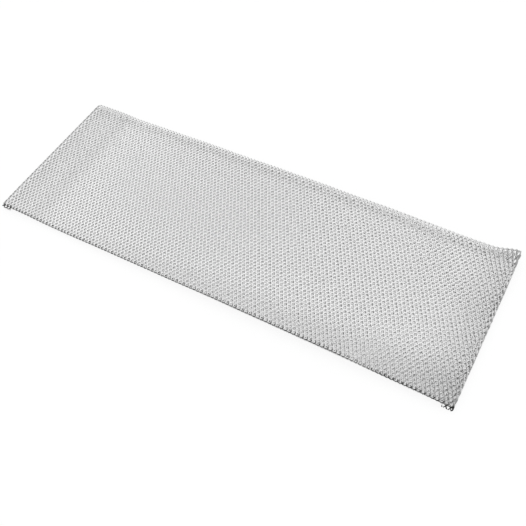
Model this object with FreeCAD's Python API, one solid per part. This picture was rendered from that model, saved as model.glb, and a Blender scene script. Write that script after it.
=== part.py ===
import FreeCAD, Part
import os
from math import hypot

from FreeCAD import Vector

os.makedirs("parts", exist_ok=True)

# Cooker hood grease filter: a frameless pad of expanded aluminium mesh.
# One sheet is folded over along the near side, round a second, crossed layer.
# Its two ends and its far side are turned under as hems, and the pad rests on them.
# X runs along the pad, Y from the near fold to the far hem, Z up from the resting face.

# Driving dimensions, millimetres
pad_length = 490.0        # over the outer sides of the two end folds
pad_width = 168.0         # from the near fold to the far fold
layer_height = 1.5        # height of one layer of raised mesh
hem_depth = 10.0          # how far the sheet is turned under
fold_gap = 0.2            # slit between a hem and the back of the pad
inner_clearance = 0.1     # room over the inner layer
inner_margin = 1.0        # from the inner layer's cut edge to the start of a fold
corner_radius = 3.0       # rounding of the pad's corners, seen from above
mitre_gap = 0.8           # slit between two hems where they meet at a corner

# The real cells are 7 x 4 mm. They are drawn five times as large, so that strands show.
cell_long = 35.0          # long way of a cell
cell_short = 20.0         # short way of a cell
strand_width = 5.0        # strand between two cells
web_thickness = 0.5       # floor left under a cell that is not cut through
selvage = 1.0             # plain strip between the cells and a fold or a hem
gap_step = 3              # one column of cells in this many is cut right through

# Levels, from the resting face up
hem_top = layer_height
back_bottom = hem_top + fold_gap
back_top = back_bottom + layer_height
top_bottom = back_top + layer_height
pad_height = top_bottom + layer_height

# Folds: the hem's fold goes round the whole stack, the near fold round the inner layer only
hem_radius = pad_height / 2
near_radius = (pad_height - back_bottom) / 2
right_end = pad_length / 2
far_side = pad_width / 2
near_side = -pad_width / 2

# The flat part of the sheet, between the folds
flat_right = right_end - hem_radius
flat_near = near_side + near_radius
flat_far = far_side - hem_radius


def box(x_low, x_high, y_low, y_high, z_low, z_high):
    corner = Vector(x_low, y_low, z_low)
    return Part.makeBox(x_high - x_low, y_high - y_low, z_high - z_low, corner)


def line(start, end):
    return Part.LineSegment(start, end).toShape()


def arc(start, middle, end):
    return Part.Arc(start, middle, end).toShape()


def hem_section(point, edge):
    # Sheet turned down and under: point(u, z) places it, with u outwards up to the edge
    bend = edge - hem_radius
    flap = edge - hem_depth
    edges = [
        line(point(flap, 0), point(bend, 0)),
        arc(point(bend, 0), point(edge, hem_radius), point(bend, pad_height)),
        line(point(bend, pad_height), point(bend, top_bottom)),
        arc(point(bend, top_bottom), point(edge - layer_height, hem_radius), point(bend, hem_top)),
        line(point(bend, hem_top), point(flap, hem_top)),
        line(point(flap, hem_top), point(flap, 0)),
    ]
    return Part.Face(Part.Wire(edges))


def plan_prism(corners):
    outline = Part.makePolygon([Vector(x, y, 0) for x, y in corners + corners[:1]])
    return Part.Face(outline).extrude(Vector(0, 0, pad_height))


def far_hem():
    section = hem_section(lambda u, z: Vector(-right_end, u, z), far_side)
    run = section.extrude(Vector(pad_length, 0, 0))
    reach = right_end - hem_depth
    mitred = plan_prism([
        (-right_end, far_side), (right_end, far_side),
        (reach, far_side - hem_depth), (-reach, far_side - hem_depth),
    ])
    return run.common(mitred)


def right_hem():
    section = hem_section(lambda u, z: Vector(u, near_side, z), right_end)
    run = section.extrude(Vector(0, pad_width, 0))
    reach = right_end - hem_depth
    mitred = plan_prism([
        (reach, near_side), (right_end, near_side),
        (right_end, far_side), (reach, far_side - hem_depth),
    ])
    return run.common(mitred)


def mitre_slit():
    # Narrow cut on the diagonal of the far right corner, through the hems only
    diagonal = (hem_depth - hem_radius) * 2 ** 0.5
    slit = box(-mitre_gap, diagonal - mitre_gap, -mitre_gap / 2, mitre_gap / 2, 0, hem_top)
    slit.rotate(Vector(0, 0, 0), Vector(0, 0, 1), 45)
    slit.translate(Vector(right_end - hem_depth, far_side - hem_depth, 0))
    return slit


def mirrored(shape):
    return shape.mirror(Vector(0, 0, 0), Vector(1, 0, 0))


def near_fold():
    middle = pad_height - near_radius

    def point(y, z):
        return Vector(-flat_right, y, z)

    edges = [
        arc(point(flat_near, pad_height), point(near_side, middle), point(flat_near, back_bottom)),
        line(point(flat_near, back_bottom), point(flat_near, back_top)),
        arc(point(flat_near, back_top), point(near_side + layer_height, middle), point(flat_near, top_bottom)),
        line(point(flat_near, top_bottom), point(flat_near, pad_height)),
    ]
    return Part.Face(Part.Wire(edges)).extrude(Vector(2 * flat_right, 0, 0))


def diamond(half_x, half_y, z):
    corners = [Vector(half_x, 0, z), Vector(0, half_y, z), Vector(-half_x, 0, z), Vector(0, -half_y, z)]
    return Part.makePolygon(corners + corners[:1])


def cell_share():
    # Size of a cell's opening against its pitch, once half a strand is taken off each side
    half_strand = strand_width / 2
    to_side = cell_short * cell_long / 4 / hypot(cell_short / 2, cell_long / 2)
    return 1 - half_strand / to_side


def cell_places(x_low, x_high, y_low, y_high, pitch_x, pitch_y):
    # Centres of the cells in a staggered lattice that fits its field, with half cells at the borders
    columns = round((x_high - x_low) / (pitch_x / 2))
    rows = round((y_high - y_low) / (pitch_y / 2))
    step_x = (x_high - x_low) / columns
    step_y = (y_high - y_low) / rows
    for column in range(columns + 1):
        for row in range(rows + 1):
            if (column + row) % 2 == 0:
                yield column, Vector(x_low + column * step_x, y_low + row * step_y, 0)


def trimmed(cell, field):
    # A cell that crosses the border of its field is cut off there
    if field.BoundBox.isInside(cell.BoundBox):
        return [cell]
    return cell.common(field).Solids


def cell(half_x, half_y, z_low, z_high):
    outline = Part.Face(diamond(half_x, half_y, z_low))
    return outline.extrude(Vector(0, 0, z_high - z_low))


def top_cells():
    # Cells sunk between the strands of the upper face, with some columns cut right through
    x_high = flat_right - selvage
    y_low = flat_near + selvage
    y_high = flat_far - selvage
    above = pad_height + web_thickness
    below = top_bottom - web_thickness
    field = box(-x_high, x_high, y_low, y_high, below, above)
    half_x = cell_share() * cell_short / 2
    half_y = cell_share() * cell_long / 2
    sunk = cell(half_x, half_y, top_bottom + web_thickness, above)
    through = cell(half_x, half_y, below, above)
    cells = []
    for column, place in cell_places(-x_high, x_high, y_low, y_high, cell_short, cell_long):
        opening = through.translated(place)
        if column % gap_step == 0 and field.BoundBox.isInside(opening.BoundBox):
            cells.append(opening)
        else:
            cells += trimmed(sunk.translated(place), field)
    return Part.makeCompound(cells)


def back_cells():
    # Cells sunk in the underside, between the near fold and the hems
    x_high = right_end - hem_depth - selvage
    y_low = flat_near + selvage
    y_high = far_side - hem_depth - selvage
    below = back_bottom - web_thickness
    field = box(-x_high, x_high, y_low, y_high, below, back_top)
    half_x = cell_share() * cell_short / 2
    half_y = cell_share() * cell_long / 2
    sunk = cell(half_x, half_y, below, back_top - web_thickness)
    cells = []
    for column, place in cell_places(-x_high, x_high, y_low, y_high, cell_short, cell_long):
        cells += trimmed(sunk.translated(place), field)
    return Part.makeCompound(cells)


def outer_mesh():
    top = box(-flat_right, flat_right, flat_near, flat_far, top_bottom, pad_height)
    back = box(-flat_right, flat_right, flat_near, flat_far, back_bottom, back_top)
    hem = right_hem()
    sheet = top.fuse([back, near_fold(), far_hem(), hem, mirrored(hem)])
    plan = box(-right_end, right_end, near_side, far_side, 0, pad_height)
    uprights = [edge for edge in plan.Edges if abs(edge.tangentAt(edge.FirstParameter).z) > 0.5]
    sheet = sheet.common(plan.makeFillet(corner_radius, uprights))
    slit = mitre_slit()
    sheet = sheet.cut([slit, mirrored(slit)]).removeSplitter()
    return sheet.cut([top_cells(), back_cells()])


def inner_mesh():
    # The same mesh turned a quarter turn, lying on the back of the outer sheet
    x_high = flat_right - inner_margin
    y_low = flat_near
    y_high = flat_far - inner_margin
    z_high = top_bottom - inner_clearance
    sheet = box(-x_high, x_high, y_low, y_high, back_top, z_high)
    field = [-x_high + selvage, x_high - selvage, y_low + selvage, y_high - selvage]
    limits = box(*field, back_bottom, pad_height).BoundBox
    through = cell(cell_share() * cell_long / 2, cell_share() * cell_short / 2, back_bottom, pad_height)
    openings = []
    for column, place in cell_places(*field, cell_long, cell_short):
        opening = through.translated(place)
        if column % gap_step == 0 and limits.isInside(opening.BoundBox):
            openings.append(opening)
    return sheet.cut(Part.makeCompound(openings))


for name, shape in (("outer_mesh", outer_mesh()), ("inner_mesh", inner_mesh())):
    shape.exportStep("parts/" + name + ".step")
    print(name, "solids", len(shape.Solids), "faces", len(shape.Faces), "valid", shape.isValid(),
          "volume", round(shape.Volume, 1), "box", shape.BoundBox)
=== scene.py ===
import math

import bmesh
import bpy
import numpy as np
from mathutils import Matrix, Vector


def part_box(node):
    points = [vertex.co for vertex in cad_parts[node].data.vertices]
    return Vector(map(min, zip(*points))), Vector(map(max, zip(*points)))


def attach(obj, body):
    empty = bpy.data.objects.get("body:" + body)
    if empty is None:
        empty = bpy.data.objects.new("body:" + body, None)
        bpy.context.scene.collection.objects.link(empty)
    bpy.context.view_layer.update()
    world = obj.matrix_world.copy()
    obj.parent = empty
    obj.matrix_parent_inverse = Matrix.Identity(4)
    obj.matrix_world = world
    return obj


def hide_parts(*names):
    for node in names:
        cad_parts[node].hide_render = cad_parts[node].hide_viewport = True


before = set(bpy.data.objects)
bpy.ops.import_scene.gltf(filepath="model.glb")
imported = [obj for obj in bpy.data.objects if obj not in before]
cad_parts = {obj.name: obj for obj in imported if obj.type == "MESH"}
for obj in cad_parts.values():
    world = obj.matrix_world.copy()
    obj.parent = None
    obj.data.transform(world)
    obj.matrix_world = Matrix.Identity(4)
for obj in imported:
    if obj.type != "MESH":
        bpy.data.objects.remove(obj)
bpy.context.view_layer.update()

mm = 0.001
print("frame loaded:", sorted(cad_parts))

# Grease filter pad: one sheet of expanded aluminium mesh, folded over along the near side
# and hemmed on the other three, round a second layer of the same mesh turned a quarter turn.
low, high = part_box("outer_mesh")
pad = dict(
    halfLength=high.x,
    farSide=high.y,
    nearSide=low.y,
    height=high.z,
    layer=1.5 * mm,        # height given to one layer of mesh
    foldGap=0.2 * mm,      # slit between a hem and the back of the pad
    hemDepth=10.0 * mm,    # how far the sheet is turned under
    hemOverhang=0.6 * mm,  # an end hem stands out this far past the near side
    innerMargin=1.0 * mm,  # the inner layer stops this short of the hem folds
)
# Radii and levels are taken at the middle of a sheet
pad["hemRadius"] = (pad["height"] - pad["layer"]) / 2
pad["nearRadius"] = pad["hemRadius"] - (pad["layer"] + pad["foldGap"]) / 2
pad["topLevel"] = pad["height"] - pad["layer"] / 2
pad["backLevel"] = pad["layer"] * 1.5 + pad["foldGap"]
pad["innerLevel"] = (pad["topLevel"] + pad["backLevel"]) / 2
pad["flatEnd"] = pad["halfLength"] - pad["layer"] / 2 - pad["hemRadius"]
pad["flatFar"] = pad["farSide"] - pad["layer"] / 2 - pad["hemRadius"]
pad["flatNear"] = pad["nearSide"] + pad["layer"] / 2 + pad["nearRadius"]


def linear(hexColour):
    # sRGB hex to the linear values that the shader takes
    values = [int(hexColour[i:i + 2], 16) / 255 for i in (1, 3, 5)]
    return [v / 12.92 if v <= 0.04045 else ((v + 0.055) / 1.055) ** 2.4 for v in values] + [1.0]


def addNode(tree, kind, links=(), **settings):
    # One node: settings go to its properties or sockets, links are (socket, source socket or value)
    node = tree.nodes.new(kind)
    for name, value in settings.items():
        if hasattr(node, name):
            setattr(node, name, value)
        else:
            node.inputs[name.replace("_", " ")].default_value = value
    for socket, source in links:
        if isinstance(source, bpy.types.NodeSocket):
            tree.links.new(source, node.inputs[socket])
        else:
            node.inputs[socket].default_value = source
    return node


# Expanded mesh

meshCell = dict(
    longWay=7.0 * mm,
    shortWay=4.0 * mm,
    strand=0.9 * mm,              # width of a strand
    thick=0.8 * mm,               # its thickness, drawn stouter than foil so that it shows
    bond=0.9 * mm,                # flat stretch where two strands hang together
    tilt=math.radians(-60),       # how far the strands turn on edge as the sheet is stretched
    reach=0.7 * mm,               # middles of two strands that hang together are this far apart
    place=(0, 1.75 * mm),         # puts the slopes, and not the bonds, on the near fold
    weld=0.01 * mm,               # points closer than this are one
    cut=0.001 * mm,               # points closer than this to a cut lie on it
    spare=2,                      # cells drawn past each side and trimmed off
    capSides=12,                  # most sides of a cut end
)
meshCell["swing"] = (meshCell["shortWay"] / 2 - meshCell["reach"] * math.cos(meshCell["tilt"])) / 2
meshCell["rise"] = meshCell["reach"] * math.sin(meshCell["tilt"]) / 2


def deselectAll():
    bpy.ops.object.select_all(action="DESELECT")


def addStrand(name):
    # One period of a strand along Y: a bar drawn out from its end face over bond, slope, bond and slope
    deselectAll()
    bpy.ops.mesh.primitive_plane_add(size=1)
    strand = bpy.context.object
    strand.name = name
    swing, rise, bond = meshCell["swing"], meshCell["rise"], meshCell["bond"]
    slope = meshCell["longWay"] / 2 - bond
    bpy.ops.object.mode_set(mode="EDIT")
    bpy.ops.mesh.select_mode(type="FACE")
    bpy.ops.mesh.select_all(action="SELECT")
    bpy.ops.transform.resize(value=(meshCell["strand"], meshCell["thick"], 1), center_override=(0, 0, 0))
    bpy.ops.transform.rotate(value=math.pi / 2, orient_axis="X", center_override=(0, 0, 0))
    bpy.ops.transform.rotate(value=-meshCell["tilt"], orient_axis="Y", center_override=(0, 0, 0))
    bpy.ops.transform.translate(value=(swing, -bond / 2, rise))
    for move in ((0, bond, 0), (-2 * swing, slope, -2 * rise), (0, bond, 0), (2 * swing, slope, 2 * rise)):
        bpy.ops.mesh.extrude_region_move(TRANSFORM_OT_translate={"value": move})
    # Both end faces, each at one place along the strand, go, so that its periods can be welded
    work = bmesh.from_edit_mesh(strand.data)
    for face in work.faces:
        face.select = len({round(vert.co.y / meshCell["weld"]) for vert in face.verts}) == 1
    bmesh.update_edit_mesh(strand.data)
    bpy.ops.mesh.delete(type="ONLY_FACE")
    bpy.ops.object.mode_set(mode="OBJECT")
    return strand


def repeat(piece, count, step, merge=False):
    row = piece.modifiers.new("repeat", "ARRAY")
    row.use_relative_offset = False
    row.use_constant_offset = True
    row.constant_offset_displace = step
    row.count = count
    row.use_merge_vertices = merge
    row.merge_threshold = meshCell["weld"]
    bpy.ops.object.modifier_apply(modifier=row.name)


def trim(piece, point, outwards):
    bpy.ops.object.mode_set(mode="EDIT")
    bpy.ops.mesh.select_all(action="SELECT")
    bpy.ops.mesh.bisect(plane_co=point, plane_no=outwards, clear_outer=True, threshold=meshCell["cut"])
    bpy.ops.object.mode_set(mode="OBJECT")


def pointsOf(piece):
    points = np.empty(len(piece.data.vertices) * 3, np.float32)
    piece.data.vertices.foreach_get("co", points)
    return points.reshape(-1, 3)


def movePoints(piece, mover):
    # Moves every point of a mesh: mover takes and gives an array of places
    moved = mover(pointsOf(piece).astype(float))
    piece.data.vertices.foreach_set("co", moved.astype(np.float32).ravel())
    piece.data.update()


def flatSheet(name, xLow, xHigh, yLow, yHigh, crossed=False, lean=None, shift=(0, 0)):
    # A flat piece of mesh, cut to size. All pieces share one lattice, so that their cells match at a fold,
    # except where shift moves them or lean slants them
    across, along, spare = meshCell["shortWay"], meshCell["longWay"], meshCell["spare"]
    spanX, spanY = (xLow, xHigh), (yLow, yHigh)
    if crossed:
        spanX, spanY = (-yHigh, -yLow), (xLow, xHigh)
    firstColumn = math.floor(spanX[0] / across) - spare
    firstRow = math.floor(spanY[0] / along) - spare
    sheet = addStrand(name)
    repeat(sheet, math.ceil(spanY[1] / along) + spare - firstRow, (0, along, 0), merge=True)
    repeat(sheet, 2, (across / 2, along / 2, 0))        # the strand and its staggered neighbour
    repeat(sheet, math.ceil(spanX[1] / across) + spare - firstColumn, (across, 0, 0))
    sheet.data.transform(Matrix.Translation((firstColumn * across, firstRow * along, 0)))
    if crossed:
        sheet.data.transform(Matrix.Rotation(-math.pi / 2, 4, "Z"))
    place = meshCell["place"]
    sheet.data.transform(Matrix.Translation((place[0] + shift[0], place[1] + shift[1], 0)))
    if lean:
        movePoints(sheet, lean)
    trim(sheet, (xLow, 0, 0), (-1, 0, 0))
    trim(sheet, (xHigh, 0, 0), (1, 0, 0))
    trim(sheet, (0, yLow, 0), (0, -1, 0))
    trim(sheet, (0, yHigh, 0), (0, 1, 0))
    return sheet


def closeEnds(piece):
    # Caps the ends of cut strands and recalculates which way the faces point
    bpy.ops.object.mode_set(mode="EDIT")
    bpy.ops.mesh.select_all(action="SELECT")
    bpy.ops.mesh.fill_holes(sides=meshCell["capSides"])
    bpy.ops.mesh.select_all(action="SELECT")
    bpy.ops.mesh.normals_make_consistent(inside=False)
    bpy.ops.object.mode_set(mode="OBJECT")


# Handling: the pad arches between its ends, one corner is bent up, and the sheet is wavy.
# hemSag and nearPuff are values at the left and the right end, shifts and reaches go along and across

handling = dict(
    backShift=(0.75 * mm, -0.9 * mm),         # the lower sheet has slid this far under the upper one
    arch=3.4 * mm,                            # rise of the middle
    archAtFar=0.4 * mm,                       # more along the far side, less along the near side
    skew=1.0,                                 # how far the top of the arch lies towards the right
    skewAtFar=-0.3,                           # less along the far side
    cornerLift=2.8 * mm,                      # the far right corner is bent up
    cornerReach=(70 * mm, 60 * mm),
    tipLift=4.6 * mm,                         # its tip is bent up once more and splayed out
    tipSplay=2.8 * mm,
    tipReach=(26 * mm, 22 * mm),
    waves=(0.25 * mm, 0.15 * mm),             # heights of two waves in the sheet
    waveLengths=(118 * mm, 67 * mm, 41 * mm),
    wavePhases=(0.7, -1.1),
    waveEnds=8,                               # power by which the waves die out at the ends
    leanStart=120 * mm,                       # the cells lean over towards the right end
    lean=math.radians(3),
    hemSag=(0.18 * mm, 0.9 * mm),             # the pad sinks inside the far hem
    hemSlope=7.0 * mm,                        # over this width
    sagStop=40.0 * mm,                        # and dies out over this length at the end hems
    endCurl=1.3 * mm,                         # the left end curls up
    curlStart=57.0 * mm,                      # between these distances from the end
    curlStop=31.0 * mm,
    nearPuff=(0.39 * mm, 1.3 * mm),           # the pad is fuller inside than at its near edge
    rightPuff=1.1 * mm,                       # and at its right edge
    puffReach=26.0 * mm,
)


def smooth(value):
    value = np.clip(value, 0, 1)
    return value * value * (3 - 2 * value)


def between(pair, share):
    return pair[0] + (pair[1] - pair[0]) * share


def shareAlong(x):
    # 0 at the left end, 1 at the right end
    return np.clip((x / pad["halfLength"] + 1) / 2, 0, 1)


def cornerShare(x, y, reach):
    # 1 at the far right corner, falling to 0 over a reach along and across
    alongShare = smooth((x - pad["halfLength"] + reach[0]) / reach[0])
    return alongShare * smooth((y - pad["farSide"] + reach[1]) / reach[1])


def handled(points):
    x, y, z = points.T
    half, far = pad["halfLength"], pad["farSide"]
    along, across, share = x / half, y / far, shareAlong(x)
    arch = (handling["arch"] + handling["archAtFar"] * across) * (1 - along ** 2)
    arch = arch * (1 + (handling["skew"] + handling["skewAtFar"] * across) * along)
    tip = cornerShare(x, y, handling["tipReach"])
    lift = handling["cornerLift"] * cornerShare(x, y, handling["cornerReach"]) + handling["tipLift"] * tip
    first, second, third = [2 * math.pi / length for length in handling["waveLengths"]]
    waves = handling["waves"][0] * np.sin(first * x + handling["wavePhases"][0]) * np.cos(third * y)
    waves = waves + handling["waves"][1] * np.sin(second * x + first * y + handling["wavePhases"][1])
    waves = waves * (1 - along ** handling["waveEnds"])
    inside = far - y - pad["hemDepth"] + handling["hemSlope"] / 2
    sag = between(handling["hemSag"], share) * smooth(inside / handling["hemSlope"])
    sag = sag * smooth((half - np.abs(x) - pad["hemDepth"]) / handling["sagStop"])
    curlWidth = handling["curlStart"] - handling["curlStop"]
    curl = handling["endCurl"] * smooth((handling["curlStart"] - half - x) / curlWidth)
    fromNear = np.clip((y - pad["nearSide"]) / handling["puffReach"], 0, 1)
    fromRight = np.clip((half - x) / handling["puffReach"], 0, 1)
    puff = between(handling["nearPuff"], share) * (1 - (1 - fromNear) ** 2) * (1 - across) / 2
    puff = puff + handling["rightPuff"] * (1 - (1 - fromRight) ** 2) * share
    return np.stack([x, y + handling["tipSplay"] * tip, z + arch + lift + waves - sag + curl + puff], -1)


def leaning(points):
    x, y, z = points.T
    share = smooth((x - handling["leanStart"]) / (pad["halfLength"] - handling["leanStart"]))
    return np.stack([x + math.tan(handling["lean"]) * share * y, y, z], -1)


# Folds. A flat place beyond the start of a fold goes round it by the same length


def foldDown(points):
    # Upper sheet: its four borders bend down, and its corners round off
    x, y, up = points.T
    overX = np.maximum(np.abs(x) - pad["flatEnd"], 0)
    overY = np.maximum(y - pad["flatFar"], 0) + np.maximum(pad["flatNear"] - y, 0)
    over = np.hypot(overX, overY)
    alongX = np.divide(overX, over, out=np.zeros_like(over), where=over > 0) * np.sign(x)
    alongY = np.divide(overY, over, out=np.zeros_like(over), where=over > 0) * np.sign(y)
    nearShare = np.where(y < 0, alongY ** 2, 0)
    radius = pad["hemRadius"] + (pad["nearRadius"] - pad["hemRadius"]) * nearShare
    turn = over / radius
    out = radius * np.sin(turn) + up * np.sin(turn)
    x = np.clip(x, -pad["flatEnd"], pad["flatEnd"]) + out * alongX
    y = np.clip(y, pad["flatNear"], pad["flatFar"]) + out * alongY
    z = pad["topLevel"] - radius * (1 - np.cos(turn)) + up * np.cos(turn)
    return np.stack([x, y, z], -1)


def turnUnder(over, up, radius, start):
    # Place across a fold and level, for a strip that bends down and runs back under the pad
    turn = np.minimum(over / radius, math.pi)
    back = np.maximum(over - math.pi * radius, 0)
    across = start + (radius + up) * np.sin(turn) - back
    level = pad["topLevel"] - radius + (radius + up) * np.cos(turn)
    return across, level


def foldEndHem(points):
    x, y, up = points.T
    across, level = turnUnder(np.abs(x) - pad["flatEnd"], up, pad["hemRadius"], pad["flatEnd"])
    return np.stack([across * np.sign(x), y, level], -1)


def foldFarHem(points):
    x, y, up = points.T
    across, level = turnUnder(y - pad["flatFar"], up, pad["hemRadius"], pad["flatFar"])
    return np.stack([x, across, level], -1)


def foldBack(points):
    x, y, up = points.T
    across, level = turnUnder(pad["flatNear"] - y, up, pad["nearRadius"], -pad["flatNear"])
    return np.stack([x, -across, level], -1)


def layInner(points):
    x, y, up = points.T
    return np.stack([x, y, pad["innerLevel"] + up], -1)


# Painted shade: the lower parts of the folds, the ends and the far hem are painted dark where they lie in
# shade, fitted to the photograph's tones.
# Pairs are values towards the left and the right end

paintedShade = dict(
    topShare=0.1,                 # upper part of a fold that stays bright
    fullShare=0.35,               # part from which it is fully darkened
    reach=1.0 * mm,               # how far the painted shade at the border runs in under the pad
    rightStrength=0.66,           # the right end is painted less dark than the near side
    farStrength=0.25,             # and the far and left sides still less
)

# Painted shade on the upper sheet: darker towards the right end, along the near side, inside the far hem,
# where the left end curls, round the left end and on the bent corner's tip; and on the layers under it
shadePatches = dict(
    rightEnd=0.19,                # towards the right end
    rightReach=50.0 * mm,
    nearEdge=(0.039, 0.26),       # along the near side
    nearReach=(8.0 * mm, 50.0 * mm),
    hemLine=(0.06, 0.19),         # where the pad sinks inside the far hem
    hemLinePlace=9.5 * mm,        # this far in from the far side
    hemLineWidth=6.0 * mm,
    leftBand=0.09,                # where the left end curls up
    leftBandWidth=9.0 * mm,
    leftEnd=0.13,                 # towards the left end
    leftReach=65.0 * mm,
    leftRim=0.4,                  # round the fold of the left end
    leftRimWidth=6.0 * mm,
    cornerTip=0.22,               # on the tip of the bent corner
    inside=(0.01, 0.15),          # painted shade on the layers under the upper sheet
    insideReach=240.0 * mm,       # the second value holds from this far off the left end
)


def upperSheetShade(x, y):
    # Painted shade on the upper sheet
    half, share = pad["halfLength"], shareAlong(x)
    fromLeft, fromFar = x + half, pad["farSide"] - y
    shading = shadePatches["rightEnd"] * smooth((x - half + shadePatches["rightReach"]) / shadePatches["rightReach"])
    fromNear = (y - pad["nearSide"]) / between(shadePatches["nearReach"], share)
    shading = shading + between(shadePatches["nearEdge"], share) * (1 - smooth(fromNear))
    fromLine = (fromFar - shadePatches["hemLinePlace"]) / shadePatches["hemLineWidth"]
    shading = shading + between(shadePatches["hemLine"], share) * np.exp(-fromLine ** 2)
    fromBand = (fromLeft - (handling["curlStart"] + handling["curlStop"]) / 2) / shadePatches["leftBandWidth"]
    shading = shading + shadePatches["leftBand"] * np.exp(-fromBand ** 2)
    shading = shading + shadePatches["leftEnd"] * (1 - smooth(fromLeft / shadePatches["leftReach"]))
    shading = shading + shadePatches["leftRim"] * (1 - smooth(fromLeft / shadePatches["leftRimWidth"]))
    return shading + shadePatches["cornerTip"] * cornerShare(x, y, handling["tipReach"])


def paintShade(piece):
    # Writes how dark the foil is painted for shade: 1 is the full painted shade, round the lower part of
    # the near fold
    x, y, z = pointsOf(piece).T
    nearBorder = 1 - smooth((y - pad["flatNear"]) / paintedShade["reach"])
    rightBorder = paintedShade["rightStrength"] * (1 - smooth((pad["flatEnd"] - x) / paintedShade["reach"]))
    fromFarAndLeft = np.minimum(pad["flatEnd"] + x, pad["flatFar"] - y)
    farBorder = paintedShade["farStrength"] * (1 - smooth(fromFarAndLeft / paintedShade["reach"]))
    drop = (pad["topLevel"] - z) / (pad["topLevel"] - pad["backLevel"])
    shade = smooth((drop - paintedShade["topShare"]) / (paintedShade["fullShare"] - paintedShade["topShare"]))
    shade = shade * np.maximum(nearBorder, np.maximum(rightBorder, farBorder))
    if piece.name == "upper_mesh":
        shade = np.maximum(shade, upperSheetShade(x, y))
    # Painted shade on the layers under the upper sheet, stronger towards the right end
    if piece.name in ("back_mesh", "core_mesh"):
        inside = between(shadePatches["inside"], smooth((x + pad["halfLength"]) / shadePatches["insideReach"]))
        shade = shade + inside * (1 - shade)
    mark = piece.data.attributes.new("paintedShade", "FLOAT", "POINT")
    mark.data.foreach_set("value", shade.astype(np.float32))


def finishSheet(piece, fold, material, node):
    closeEnds(piece)
    movePoints(piece, fold)
    paintShade(piece)
    movePoints(piece, handled)
    piece.data.materials.clear()
    piece.data.materials.append(material)
    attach(piece, "root")
    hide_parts(node)
    print(piece.name, "triangles", sum(len(face.vertices) - 2 for face in piece.data.polygons))


# Finish

foilLook = dict(
    colour="#fcfcfc",
    dull="#f6f6f6",
    shadeColour="#262626",               # painted shade on the lower parts of the folds and where the sheet lies in shade
    metallic=1.0,
    roughness=(0.32, 0.5),        # least and most, by the grain
    cloud=9.0 * mm,               # patches where the foil is brighter or duller
    cloudDetail=3.0,
    grain=0.25 * mm,              # left by rolling and stretching
    grainDetail=2.0,
    grainDepth=0.02 * mm,
    grainStrength=0.15,
)
mixColour = dict(first=6, second=7, result=2)        # a Mix node's colour sockets, by number


def rolledAluminium(name, look):
    # Rolled aluminium foil, slit and stretched: bright grey metal with a soft, finely grained gloss
    # and faint clouding, painted nearly black as shade on the lower parts of the folds and darker where the
    # sheet lies in shade
    material = bpy.data.materials.new(name)
    material.use_nodes = True
    tree = material.node_tree
    tree.nodes.clear()
    place = addNode(tree, "ShaderNodeTexCoord").outputs["Object"]
    cloud = addNode(tree, "ShaderNodeTexNoise", [("Vector", place)],
                    Scale=1 / look["cloud"], Detail=look["cloudDetail"]).outputs["Fac"]
    grain = addNode(tree, "ShaderNodeTexNoise", [("Vector", place)],
                    Scale=1 / look["grain"], Detail=look["grainDetail"]).outputs["Fac"]
    # Painted shade: the attribute mixes the colour towards the shade colour
    shade = addNode(tree, "ShaderNodeAttribute", attribute_name="paintedShade").outputs["Fac"]
    first, second, result = mixColour["first"], mixColour["second"], mixColour["result"]
    clouded = [("Factor", cloud), (first, linear(look["dull"])), (second, linear(look["colour"]))]
    tint = addNode(tree, "ShaderNodeMix", clouded, data_type="RGBA").outputs[result]
    shaded = [("Factor", shade), (first, tint), (second, linear(look["shadeColour"]))]
    colour = addNode(tree, "ShaderNodeMix", shaded, data_type="RGBA").outputs[result]
    least, most = look["roughness"]
    gloss = addNode(tree, "ShaderNodeMapRange", [("Value", grain)], To_Min=least, To_Max=most)
    bump = addNode(tree, "ShaderNodeBump", [("Height", grain)],
                   Strength=look["grainStrength"], Distance=look["grainDepth"])
    surface = [("Base Color", colour), ("Roughness", gloss.outputs["Result"]),
               ("Normal", bump.outputs["Normal"])]
    shader = addNode(tree, "ShaderNodeBsdfPrincipled", surface, Metallic=look["metallic"])
    addNode(tree, "ShaderNodeOutputMaterial", [("Surface", shader.outputs["BSDF"])])
    return material


sheetFoil = rolledAluminium("rolled_aluminium_sheet", foilLook)
coreFoil = rolledAluminium("rolled_aluminium_core", foilLook)
print("foil finishes made")

# The sheet, cut flat in parts and folded. It goes a quarter turn round a fold before the next part starts

quarterHem = pad["hemRadius"] * math.pi / 2
quarterNear = pad["nearRadius"] * math.pi / 2
flap = pad["hemDepth"] - pad["hemRadius"] - pad["layer"] / 2
hemEnd = 2 * quarterHem + flap

upper = flatSheet("upper_mesh", -pad["flatEnd"] - quarterHem, pad["flatEnd"] + quarterHem,
                  pad["flatNear"] - quarterNear, pad["flatFar"] + quarterHem, lean=leaning)
finishSheet(upper, foldDown, sheetFoil, "outer_mesh")

backRun = pad["flatFar"] - pad["flatNear"]
back = flatSheet("back_mesh", -pad["flatEnd"], pad["flatEnd"],
                 pad["flatNear"] - 2 * quarterNear - backRun, pad["flatNear"] - quarterNear,
                 shift=handling["backShift"])
finishSheet(back, foldBack, sheetFoil, "outer_mesh")

for name, side in (("left_hem", -1), ("right_hem", 1)):
    inner, outer = sorted((side * (pad["flatEnd"] + quarterHem), side * (pad["flatEnd"] + hemEnd)))
    hem = flatSheet(name, inner, outer, pad["nearSide"] - pad["hemOverhang"], pad["flatFar"])
    corner = (side * (pad["flatEnd"] + 2 * quarterHem), pad["flatFar"], 0)
    trim(hem, corner, (side, 1, 0))        # mitred where it meets the far hem
    finishSheet(hem, foldEndHem, sheetFoil, "outer_mesh")

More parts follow.
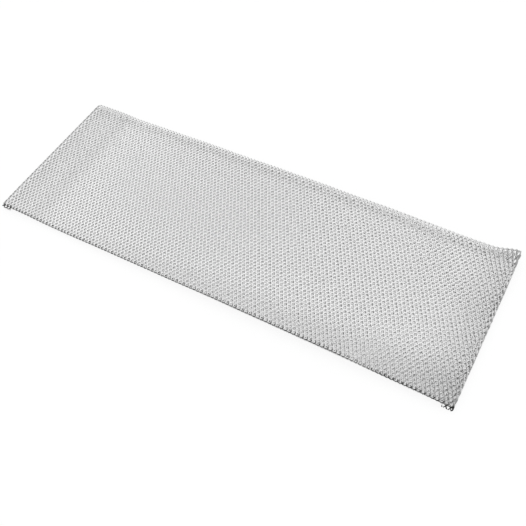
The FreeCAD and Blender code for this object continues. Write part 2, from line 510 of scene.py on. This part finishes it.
farHem = flatSheet("far_hem", -pad["flatEnd"], pad["flatEnd"],
                   pad["flatFar"] + quarterHem, pad["flatFar"] + hemEnd)
for side in (-1, 1):
    trim(farHem, (side * pad["flatEnd"], pad["flatFar"] + 2 * quarterHem, 0), (side, 1, 0))
finishSheet(farHem, foldFarHem, sheetFoil, "outer_mesh")

coreEnd = pad["flatEnd"] - pad["innerMargin"]
core = flatSheet("core_mesh", -coreEnd, coreEnd,
                 pad["flatNear"], pad["flatFar"] - pad["innerMargin"], crossed=True)
finishSheet(core, layInner, coreFoil, "inner_mesh")

# Floor, light and camera

stage = dict(
    floorSize=6.0,
    white="#ffffff",               # floor, light and backdrop
    whiteStrength=1.0,             # strength at which it is seen as plain white
    worldDim=0.68,                 # strength of the world on its dim side
    worldBright=1.13,              # and on its bright side
    brightSide=(0.3, -0.2, 0.9),
    glowRound=0.85,                # share of plain white in the floor as seen, the rest takes the shadow
    glowUnder=0.38,                # share of it under the pad, where little light comes
    glowInset=3.5 * mm,            # the white reaches this far in under the raised near side
    keyEnergy=1.0,
    keyPlace=(-0.7, 0.9, 1.5),
    keySize=1.2,
)
white = linear(stage["white"])


def whitePaper():
    # White paper: the camera, and the metal's reflections, see it as an even white ground
    # that keeps a faint shadow and falls to grey under the pad
    material = bpy.data.materials.new("white_paper")
    material.use_nodes = True
    tree = material.node_tree
    tree.nodes.clear()
    rays = addNode(tree, "ShaderNodeLightPath").outputs
    seen = rays["Is Camera Ray"]
    for ray in ("Is Glossy Ray", "Is Transmission Ray"):
        seen = addNode(tree, "ShaderNodeMath", [(0, seen), (1, rays[ray])], operation="MAXIMUM").outputs[0]
    # A floor point is outside the pad where it lies past one of the sides of the dark patch
    place = addNode(tree, "ShaderNodeTexCoord").outputs["Object"]
    inset = stage["glowInset"] / 2
    away = addNode(tree, "ShaderNodeVectorMath", [(0, place), (1, (0, inset, 0))], operation="SUBTRACT")
    away = addNode(tree, "ShaderNodeVectorMath", [(0, away.outputs["Vector"])], operation="ABSOLUTE")
    away = addNode(tree, "ShaderNodeSeparateXYZ", [(0, away.outputs["Vector"])]).outputs
    past = []
    for axis, edge in (("X", pad["halfLength"]), ("Y", pad["farSide"] - inset)):
        past.append(addNode(tree, "ShaderNodeMath", [(0, away[axis]), (1, edge)], operation="GREATER_THAN"))
    outside = addNode(tree, "ShaderNodeMath", [(0, past[0].outputs[0]), (1, past[1].outputs[0])],
                      operation="MAXIMUM")
    level = addNode(tree, "ShaderNodeMapRange", [("Value", outside.outputs[0])],
                    To_Min=stage["glowUnder"], To_Max=stage["glowRound"])
    share = addNode(tree, "ShaderNodeMath", [(0, seen), (1, level.outputs["Result"])], operation="MULTIPLY")
    paper = addNode(tree, "ShaderNodeBsdfDiffuse", Color=white)
    glow = addNode(tree, "ShaderNodeEmission", Color=white, Strength=stage["whiteStrength"])
    mixed = addNode(tree, "ShaderNodeMixShader",
                    [(0, share.outputs[0]), (1, paper.outputs[0]), (2, glow.outputs[0])])
    addNode(tree, "ShaderNodeOutputMaterial", [("Surface", mixed.outputs[0])])
    return material


deselectAll()
bpy.ops.mesh.primitive_plane_add(size=stage["floorSize"])
floor = bpy.context.object
floor.name = "floor"
floor.data.materials.append(whitePaper())

# World: white, a little stronger from above, so that strands show by the way they lean.
# The camera sees it as a plain white backdrop
world = bpy.data.worlds.new("studio")
bpy.context.scene.world = world
world.use_nodes = True
tree = world.node_tree
tree.nodes.clear()
facing = addNode(tree, "ShaderNodeTexCoord").outputs["Generated"]
brightSide = Vector(stage["brightSide"]).normalized()
towards = addNode(tree, "ShaderNodeVectorMath", [(0, facing), (1, brightSide)], operation="DOT_PRODUCT")
strength = addNode(tree, "ShaderNodeMapRange", [("Value", towards.outputs["Value"])],
                   From_Min=-1.0, To_Min=stage["worldDim"], To_Max=stage["worldBright"])
sky = addNode(tree, "ShaderNodeBackground", [("Strength", strength.outputs["Result"])], Color=white)
backdrop = addNode(tree, "ShaderNodeBackground", Color=white, Strength=stage["whiteStrength"])
seen = addNode(tree, "ShaderNodeLightPath").outputs["Is Camera Ray"]
mixed = addNode(tree, "ShaderNodeMixShader", [(0, seen), (1, sky.outputs[0]), (2, backdrop.outputs[0])])
addNode(tree, "ShaderNodeOutputWorld", [("Surface", mixed.outputs[0])])

lamp = bpy.data.lights.new("key", "AREA")
lamp.energy = stage["keyEnergy"]
lamp.size = stage["keySize"]
key = bpy.data.objects.new("key", lamp)
bpy.context.scene.collection.objects.link(key)
key.location = stage["keyPlace"]
key.rotation_euler = (-Vector(stage["keyPlace"])).to_track_quat("-Z", "Y").to_euler()

# Camera solved from the pad's four corners in the photograph
shot = dict(
    azimuth=math.radians(35.709),
    elevation=math.radians(54.16),
    roll=math.radians(-7.464),
    distance=0.66525,
    target=(0.03407, -0.02421, 0.0),
    focalPixels=699.48,
    imagePixels=526,
    sensorWidth=36,
    nearClip=0.01,
)
aim, rise, roll = shot["azimuth"], shot["elevation"], shot["roll"]
backwards = Vector((math.sin(aim) * math.cos(rise), -math.cos(aim) * math.cos(rise), math.sin(rise)))
right = Vector((math.cos(aim), math.sin(aim), 0))
up = backwards.cross(right)
rolledRight = math.cos(roll) * right + math.sin(roll) * up
rolledUp = math.cos(roll) * up - math.sin(roll) * right
lens = bpy.data.cameras.new("camera")
lens.sensor_width = shot["sensorWidth"]
lens.lens = shot["focalPixels"] / shot["imagePixels"] * shot["sensorWidth"]
lens.clip_start = shot["nearClip"]
camera = bpy.data.objects.new("camera", lens)
bpy.context.scene.collection.objects.link(camera)
turn = Matrix((rolledRight, rolledUp, backwards)).transposed().to_4x4()
camera.matrix_world = Matrix.Translation(Vector(shot["target"]) + backwards * shot["distance"]) @ turn
bpy.context.scene.camera = camera
bpy.context.scene.view_settings.view_transform = "Standard"
print("stage and camera set")
